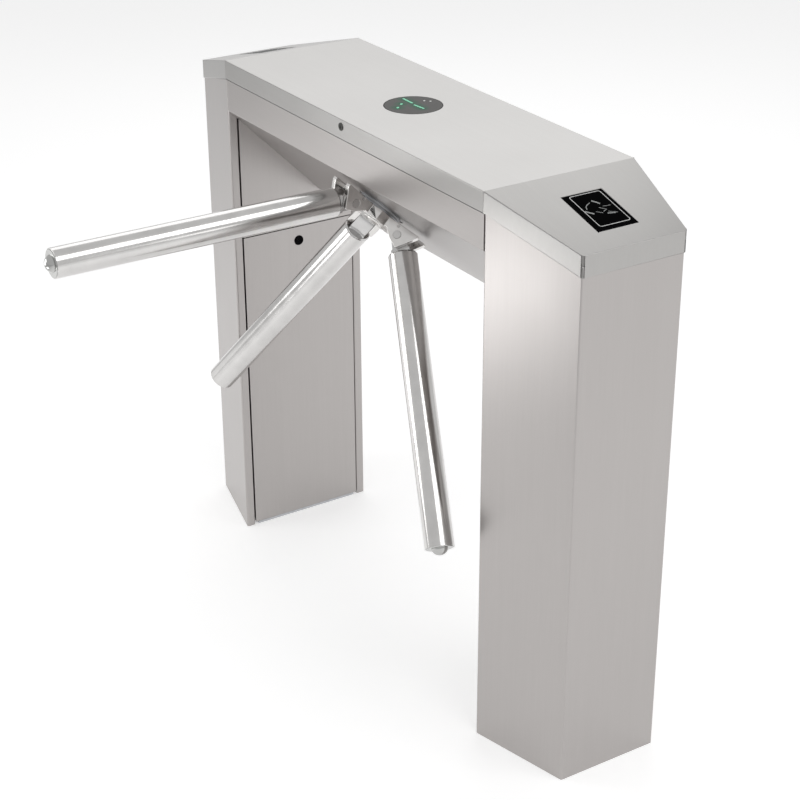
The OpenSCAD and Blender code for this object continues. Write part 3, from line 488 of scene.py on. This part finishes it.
slope_fall, slope_run = 50, 185
slope_turn = math.atan(slope_fall / slope_run)
print_t = 0.0002
border_half_u, border_half_v, border_corner_r = 0.0406, 0.0284, 0.004
border_shift = Vector((-0.0036, 0.0020))
border_w = 0.0013
mm = 0.001

# The hand and its card: each stroke's points on the glass and its width, in mm.
hand_strokes = [
    ([(-25, 1.5), (-19, 7), (-14, 10)], 3.0),
    ([(-4, -25), (1, -20), (6, -15)], 3.2),
    ([(-21, -4), (-18, -11), (-14, -16), (-7, -19)], 1.3),
    ([(-6, 2), (2, 11), (5, 3)], 1.4),
    ([(-7, 10), (-6, 17), (-6, 24)], 0.9),
    ([(7, 10), (14, 23)], 0.9),
    ([(11, 6), (14, 19)], 2.2),
    ([(2, -9), (8, 0)], 1.1),
]


def rounded_box(half_u, half_v, radius, steps=6):
    line = []
    for k, (su, sv) in enumerate(((1, 1), (-1, 1), (-1, -1), (1, -1))):
        for i in range(steps + 1):
            a = math.pi / 2 * (k + i / steps)
            line.append(Vector((su * (half_u - radius) + radius * math.cos(a),
                                sv * (half_v - radius) + radius * math.sin(a))))
    return line


def ribbon(form, line, width, glass_place, closed=False):
    """A flat printed line of that width along points on the glass, added to the mesh."""
    count = len(line)
    low, high = [], []
    for i, p in enumerate(line):
        before = line[i - 1] if i or closed else p
        after = line[(i + 1) % count] if i < count - 1 or closed else p
        along = (after - before).normalized()
        side = Vector((-along.y, along.x)) * width / 2
        for edge, q in ((low, p - side), (high, p + side)):
            edge.append([form.verts.new(glass_place @ Vector((q.x, q.y, z))) for z in (0, print_t)])
    for i in range(count if closed else count - 1):
        j = (i + 1) % count
        for a, b, c, d in ((low[i][1], low[j][1], high[j][1], high[i][1]),
                           (high[i][0], high[j][0], low[j][0], low[i][0]),
                           (low[i][0], low[j][0], low[j][1], low[i][1]),
                           (high[i][1], high[j][1], high[j][0], high[i][0])):
            form.faces.new((a, b, c, d))
    if not closed:
        form.faces.new((low[0][0], low[0][1], high[0][1], high[0][0]))
        form.faces.new((low[-1][1], low[-1][0], high[-1][0], high[-1][1]))


def printed(name, lines, glass_place, material):
    form = bmesh.new()
    for line, width, closed in lines:
        ribbon(form, [Vector(p) for p in line], width, glass_place, closed)
    bmesh.ops.recalc_face_normals(form, faces=form.faces)
    mesh = bpy.data.meshes.new(name)
    form.to_mesh(mesh)
    form.free()
    mesh.materials.append(material)
    piece = bpy.data.objects.new(name, mesh)
    bpy.context.collection.objects.link(piece)
    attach(piece, "cover")


finish_with(lacquered("printed_glass", (0.0012, 0.0012, 0.0014), rough=0.2, grain=200, ior=1.08,
                      shine=0.06), "reader_window_near", "reader_window_far")
finish_with(black_moulding, "reader_module_near", "reader_module_far")
print_white = lamp_glow("print_white", (0.72, 0.72, 0.71), 0.0)
print_grey = lamp_glow("print_grey", (0.32, 0.33, 0.325), 0.0)
border = [p + border_shift for p in rounded_box(border_half_u, border_half_v, border_corner_r)]
sign = [([(u * mm, v * mm) for u, v in line], width * mm, False) for line, width in hand_strokes]
near_turn = Matrix.Rotation(slope_turn, 4, "Y")
far_turn = Matrix.Rotation(math.pi, 4, "Z") @ near_turn
for name, turn in (("near", near_turn), ("far", far_turn)):
    glass = [turn.inverted() @ v.co for v in node_of[f"reader_window_{name}"].data.vertices]
    middle = Vector([(min(p[i] for p in glass) + max(p[i] for p in glass)) / 2 for i in range(3)])
    middle.z = max(p.z for p in glass)
    glass_place = turn @ Matrix.Translation(middle)
    printed(f"reader_frame_{name}", [(border, border_w, True)], glass_place, print_white)
    printed(f"reader_sign_{name}", sign, glass_place, print_grey)


# Feet and power supply: zinc plated sheet. The base plates are welded into the legs and drilled
# for four anchors each, with a rubber grommet where the cables come up.

def plated(name, colour, rough, crystal_scale=120):
    """Zinc with its crystals, lightest in the middle of each."""
    material, nodes, links, bsdf = new_material(name)
    cells = nodes.new("ShaderNodeTexVoronoi")
    cells.inputs["Scale"].default_value = crystal_scale
    links.new(place_node(nodes, links), cells.inputs["Vector"])
    outwards = cells.outputs["Distance"]
    dark, light = shades(colour, darker=0.88, lighter=1.08)
    links.new(tint(nodes, links, outwards, light, dark), bsdf.inputs["Base Color"])
    links.new(between(nodes, links, outwards, rough, rough * 1.3, fac_low=0, fac_high=1),
              bsdf.inputs["Roughness"])
    bsdf.inputs["Metallic"].default_value = 1
    return material


finish_with(plated("zinc_plate", (0.55, 0.56, 0.58), rough=0.36), "base_plates", "power_supply")
finish_with(lacquered("grommet_rubber", (0.018, 0.018, 0.018), rough=0.7), "cable_grommets")


# Mechanism and boards: cast and milled alloy parts, machined steel parts and moulded ones, on
# the plate behind the sloping face. The control board and the cable duct are in the beam
# beside it, and the display's board is in its cup.

cast_alloy = polished("cast_alloy", (0.56, 0.57, 0.59), rough=0.38, cloud_scale=300, wave=0.3,
                      wave_depth=0.0003)
finish_with(cast_alloy, "mechanism_plate", "bearing_housing", "damper_gear",
            "lock_pawl_left", "lock_pawl_right")
machined = polished("machined_steel", steel_grey, rough=0.3, cloud_scale=150, wave=0.1)
finish_with(machined, "mounting_nuts", "housing_bolts", "shaft_bearings", "pawl_pins", "hub_bolts",
            "main_shaft", "index_disc", "shaft_nut", "plunger_left", "plunger_right",
            "lock_solenoids")
finish_with(black_moulding, "damper_body", "turn_sensor", "sensor_disc")
finish_with(lacquered("pinion_moulding", (0.70, 0.68, 0.60), rough=0.45), "damper_pinion")
finish_with(lacquered("duct_moulding", (0.50, 0.50, 0.49), rough=0.5), "cable_duct")
finish_with(lacquered("solder_resist", (0.02, 0.12, 0.05), rough=0.3, grain=250),
            "control_board", "display_board")


# Studio: a pale floor, a pale sky and soft lamps, none of which belong to the turnstile. On the
# walkway side the floor has painted shade, darker beyond the edge of the camera's view and at
# one soft spot, and the steel mirrors that.

floor_half = 30
# The floor's painted shade: a darker tone far out on the walkway side, and a darker soft spot there.
floor_pale, floor_painted_falloff, floor_painted_shade = (0.8, 0.8, 0.8), (0.5, 0.5, 0.5), (0.45, 0.45, 0.45)
walkway_turn = math.radians(-158.7)
picture_edge, dark_from = 0.8, 2.8
shade_spot_middle, shade_spot_r = (-0.3, -1.45, 0), 0.68
floor_lit, floor_seen = 0, 0.58
sky_lit, sky_seen = 0.5, 0.7


def seen_strength(nodes, links, lit, seen):
    """The strength lit for diffuse light, and seen where it shows, in metal and glass too."""
    rays = nodes.new("ShaderNodeLightPath")
    shows = rays.outputs["Is Camera Ray"]
    for kind in ("Is Transmission Ray", "Is Glossy Ray"):
        most = nodes.new("ShaderNodeMath")
        most.operation = "MAXIMUM"
        links.new(shows, most.inputs[0])
        links.new(rays.outputs[kind], most.inputs[1])
        shows = most.outputs[0]
    return between(nodes, links, shows, lit, seen, 0, 1)


def floor_paper(name):
    """Matt paper with painted shade: darker far out on the walkway side and at one soft spot there.
    """
    material, nodes, links, bsdf = new_material(name)
    out = nodes.new("ShaderNodeSeparateXYZ")
    links.new(place_node(nodes, links, turn=(0, 0, walkway_turn)), out.inputs["Vector"])
    # Painted shade: the floor's colour darkens out on the walkway side and round the soft spot's
    # middle.
    far = between(nodes, links, out.outputs["Y"], 0, 1, picture_edge, dark_from)
    spot = nodes.new("ShaderNodeVectorMath")
    spot.operation = "DISTANCE"
    spot.inputs[1].default_value = shade_spot_middle
    links.new(place_node(nodes, links), spot.inputs[0])
    off_shade_spot = between(nodes, links, spot.outputs["Value"], 0, 1, 0.0, shade_spot_r)
    paper = tint(nodes, links, off_shade_spot, floor_painted_shade, tint(nodes, links, far, floor_pale, floor_painted_falloff))
    links.new(paper, bsdf.inputs["Base Color"])
    links.new(paper, bsdf.inputs["Emission Color"])
    links.new(seen_strength(nodes, links, floor_lit, floor_seen), bsdf.inputs["Emission Strength"])
    bsdf.inputs["Roughness"].default_value = 0.9
    return material


floor_mesh = bpy.data.meshes.new("floor")
floor_corners = [(x * floor_half, y * floor_half, 0) for x, y in ((-1, -1), (1, -1), (1, 1), (-1, 1))]
floor_mesh.from_pydata(floor_corners, [], [(0, 1, 2, 3)])
floor_mesh.materials.append(floor_paper("floor_paper"))
floor = bpy.data.objects.new("floor", floor_mesh)
bpy.context.collection.objects.link(floor)

world = bpy.data.worlds.new("studio")
world.use_nodes = True
sky, sky_links = world.node_tree.nodes, world.node_tree.links
sky["Background"].inputs["Color"].default_value = (1, 1, 1, 1)
sky_links.new(seen_strength(sky, sky_links, sky_lit, sky_seen), sky["Background"].inputs["Strength"])
bpy.context.scene.world = world


def soft_lamp(name, place, target, width, height, glow):
    """A soft box whose face is as bright as glow, aimed at the target."""
    lamp = bpy.data.lights.new(name, "AREA")
    lamp.shape = "RECTANGLE"
    lamp.size, lamp.size_y = width, height
    lamp.energy = glow * math.pi * width * height
    holder = bpy.data.objects.new(name, lamp)
    holder.location = place
    holder.rotation_mode = "QUATERNION"
    holder.rotation_quaternion = (Vector(target) - Vector(place)).to_track_quat("-Z", "Y")
    holder.visible_camera = False
    bpy.context.collection.objects.link(holder)


soft_lamp("lamp_back", (-2.35, 1.47, 2.75), (0, 0, 0.95), width=3.0, height=2.4, glow=0.9)
soft_lamp("lamp_key", (2.0, 0.3, 3.0), (-0.1, -0.3, 0.7), width=2.4, height=1.3, glow=2.2)
soft_lamp("lamp_side", (-1.0, -1.45, 0.8), (0.0, -0.3, 0.6), width=0.8, height=0.8, glow=2.6)
soft_lamp("lamp_low", (-0.3, -1.5, 0.2), (0.5, -0.13, 0.9), width=0.45, height=0.3, glow=3.2)
soft_lamp("lamp_front", (-1.4, -0.95, 0.15), (0, -0.15, 0.9), width=0.8, height=0.5, glow=0.4)
soft_lamp("lamp_floor", (2.6, 1.3, 1.3), (2.2, 1.0, 0), width=1.2, height=1.2, glow=1.2)

bpy.context.scene.view_settings.view_transform = "Standard"
